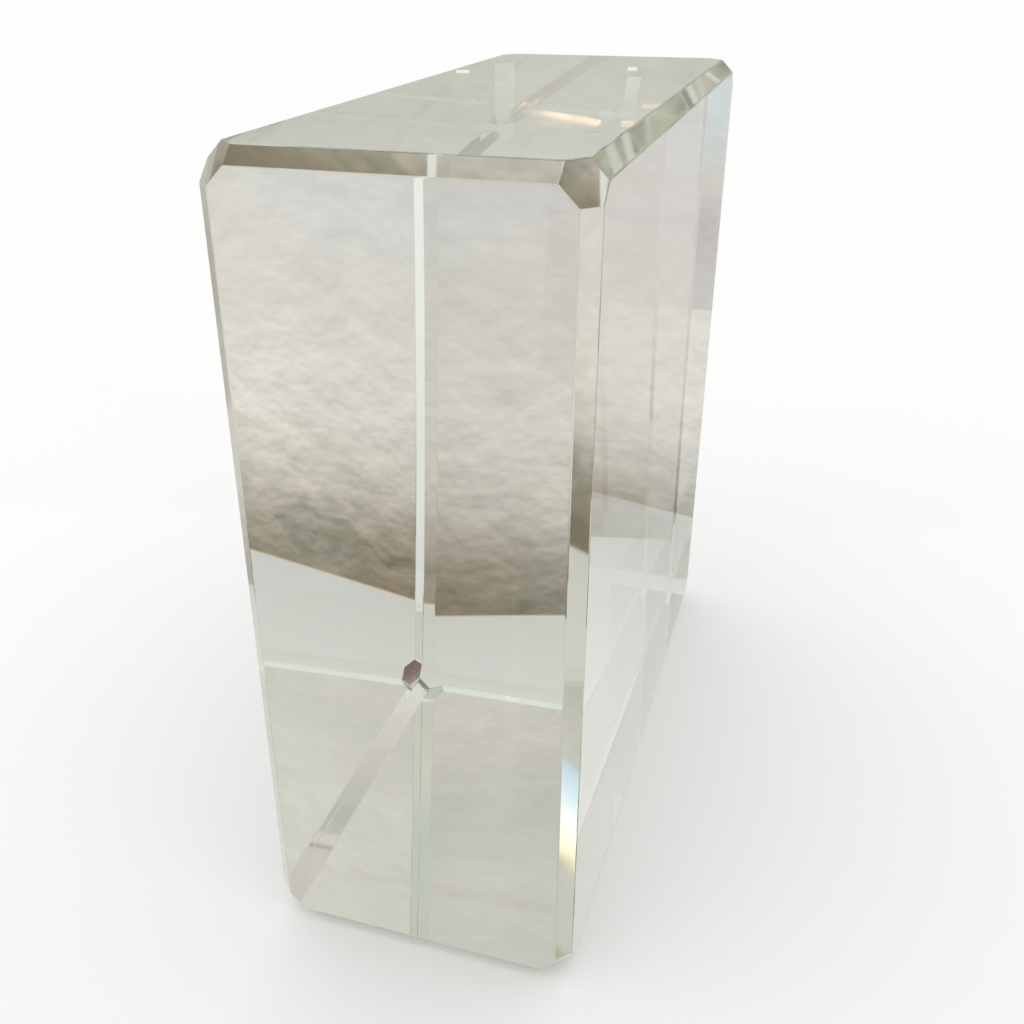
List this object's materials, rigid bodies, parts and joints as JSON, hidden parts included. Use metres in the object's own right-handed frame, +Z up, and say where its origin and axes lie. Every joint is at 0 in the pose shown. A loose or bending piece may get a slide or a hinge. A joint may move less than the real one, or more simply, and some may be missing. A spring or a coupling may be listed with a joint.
{
  "type": "paperweight",
  "caption": "Solid clear glass slab paperweight with bevelled edges and ground corner facets, standing on a narrow side.",
  "frame": {"origin": "centre of the footprint, on the surface the block stands on", "axes": "+Z up, +X across the thin side of the slab, and -Y towards the front, which is the narrow side seen head on"},
  "size_m": [0.04, 0.1, 0.1],
  "materials": {
    "optical_glass": "clear, polished on every face and bevel, with a faint green-grey tint in its depth"
  },
  "bodies": {
    "root": {"crystal_block": "optical_glass"}
  },
  "joints": []
}
